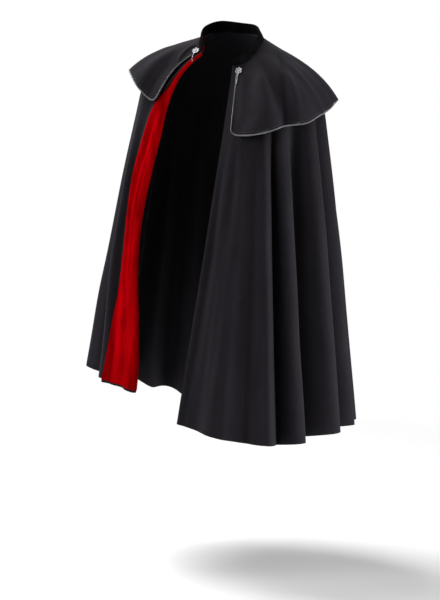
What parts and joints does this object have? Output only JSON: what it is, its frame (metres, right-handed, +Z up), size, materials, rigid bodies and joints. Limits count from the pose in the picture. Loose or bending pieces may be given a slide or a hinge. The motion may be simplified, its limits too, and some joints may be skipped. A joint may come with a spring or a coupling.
{
  "type": "cloak",
  "caption": "Long wool cloak worn open, with a shoulder cape, a low stand collar, red velvet facings, a corded cape edge and silver neck clasps.",
  "frame": {"origin": "middle of the neck, level with the cape seam at the sides of the neck; the wearer's neck holds the cloak there", "axes": "+Z up, -Y the way the wearer faces, +X to the wearer's left"},
  "size_m": [0.8556, 0.6377, 1.2193],
  "materials": {
    "wool": "napped wool broadcloth",
    "velvet": "velvet",
    "cord": "satin",
    "silver": "polished silver"
  },
  "bodies": {
    "cloak": {"front_right": "wool", "front_left": "wool", "back": "wool", "capelet": "wool", "collar": "wool", "facing_right": "velvet", "facing_left": "velvet", "collar_facing": "velvet", "capelet_trim": "cord", "rosette_right": "silver", "rosette_left": "silver"},
    "hook_right": {"chain_right": "silver"},
    "hook_left": {"chain_left": "silver"}
  },
  "joints": [
    {"name": "chain_right_swing", "type": "hinge", "parent": "cloak", "child": "hook_right", "pos_m": [-0.07725, -0.09622, -0.02477], "axis": [-0.9982, -0.0605, 0], "range_deg": [0, 60]},
    {"name": "chain_left_swing", "type": "hinge", "parent": "cloak", "child": "hook_left", "pos_m": [0.06897, -0.11017, -0.09092], "axis": [-0.9951, -0.0992, 0], "range_deg": [0, 60]}
  ]
}
